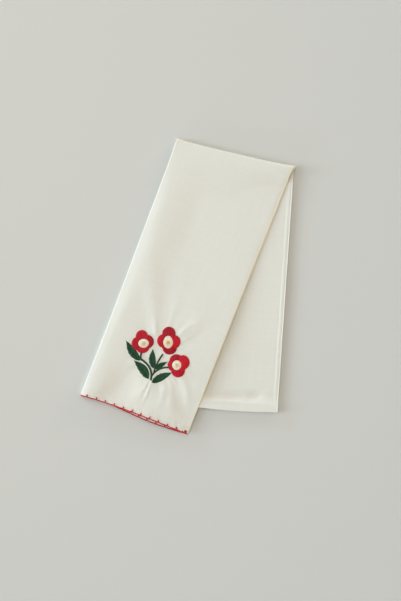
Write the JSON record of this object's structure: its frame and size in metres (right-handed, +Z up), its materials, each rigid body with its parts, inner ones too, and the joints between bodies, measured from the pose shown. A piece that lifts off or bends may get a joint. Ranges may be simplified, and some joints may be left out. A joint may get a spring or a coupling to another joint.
{
  "type": "folded tea towel",
  "caption": "Plain woven tea towel folded into a long strip and over again, lying flat with its top leg splayed; stitched edging on the end hem and a small sewn flower sprig.",
  "frame": {"origin": "middle of the underside of the whole folded towel's box, on the table it lies on", "axes": "+Z up off the table; +Y from the free end hems towards the half fold; +X to the right seen from above"},
  "size_m": [0.2788, 0.3836, 0.0103],
  "materials": {
    "cloth": "matt plain weave, natural off-white",
    "thread_red": "soft sheen stranded cotton",
    "thread_green": "soft sheen stranded cotton",
    "thread_cream": "soft sheen stranded cotton and matt sewing thread",
    "thread_gold": "soft sheen stranded cotton"
  },
  "bodies": {
    "root": {"towel": "cloth"}
  },
  "joints": []
}
